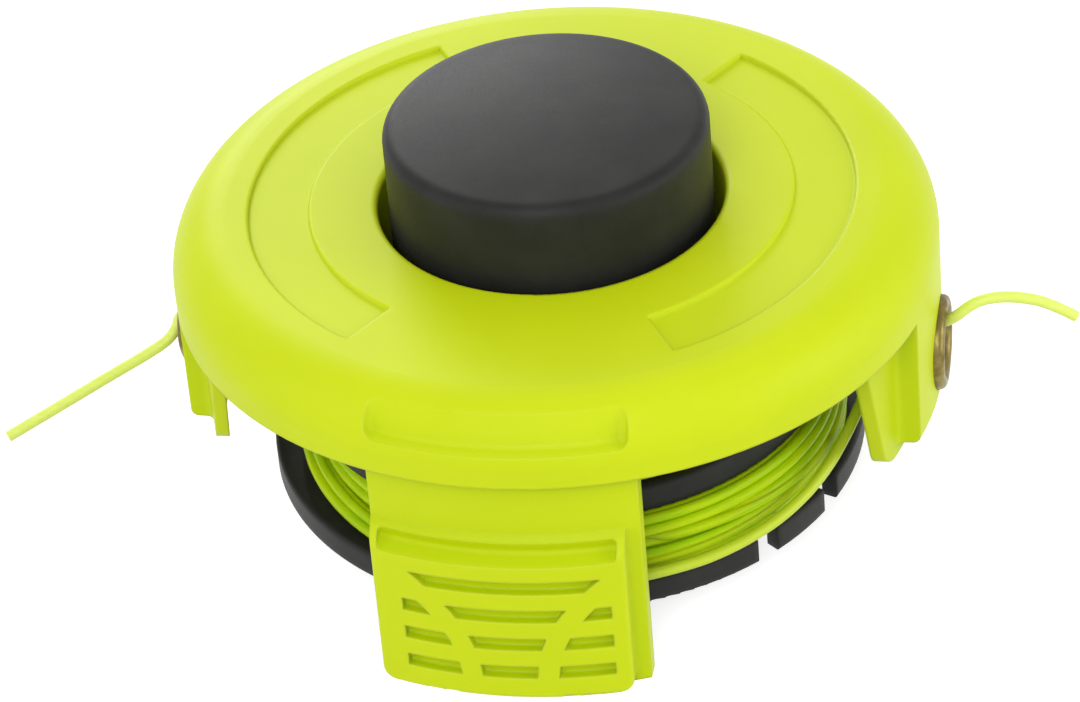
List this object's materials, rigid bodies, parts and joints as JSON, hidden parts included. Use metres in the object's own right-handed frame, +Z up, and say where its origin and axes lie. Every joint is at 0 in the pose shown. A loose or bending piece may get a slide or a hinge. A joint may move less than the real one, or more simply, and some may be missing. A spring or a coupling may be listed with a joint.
{
  "type": "trimmer line spool",
  "caption": "Bump-feed trimmer line spool: a round lime clip-on cover with grip tabs and metal line eyelets over a dark tiered spool of wound line, with a bump knob on top.",
  "frame": {"origin": "on the spool axis, at the floor plane that the snap tabs and the foot of the spool's core stand on", "axes": "+Z up along the spool axis to the bump knob, -Y to the snap tab in front, +X to the right-hand eyelet"},
  "size_m": [0.1412, 0.102, 0.0558],
  "materials": {
    "lime_plastic": "satin moulded lime plastic",
    "black_plastic": "fine matt moulded black plastic",
    "eyelet_metal": "dull rolled metal",
    "nylon_line": "smooth drawn nylon"
  },
  "bodies": {
    "cover": {"spool_cover": "lime_plastic", "eyelet_left": "eyelet_metal", "eyelet_right": "eyelet_metal"},
    "line_ends": {"line_end_left": "nylon_line", "line_end_right": "nylon_line"},
    "spool": {"spool": "black_plastic", "winding_lower": "nylon_line", "winding_upper": "nylon_line"}
  },
  "joints": [
    {"name": "bump_slide", "type": "slide", "parent": "cover", "child": "line_ends", "axis": [0, 0, 1], "range_m": [-0.0045, 0]},
    {"name": "spool_spin", "type": "hinge", "parent": "line_ends", "child": "spool", "pos_m": [0, 0, 0], "axis": [0, 0, 1], "continuous": true}
  ]
}
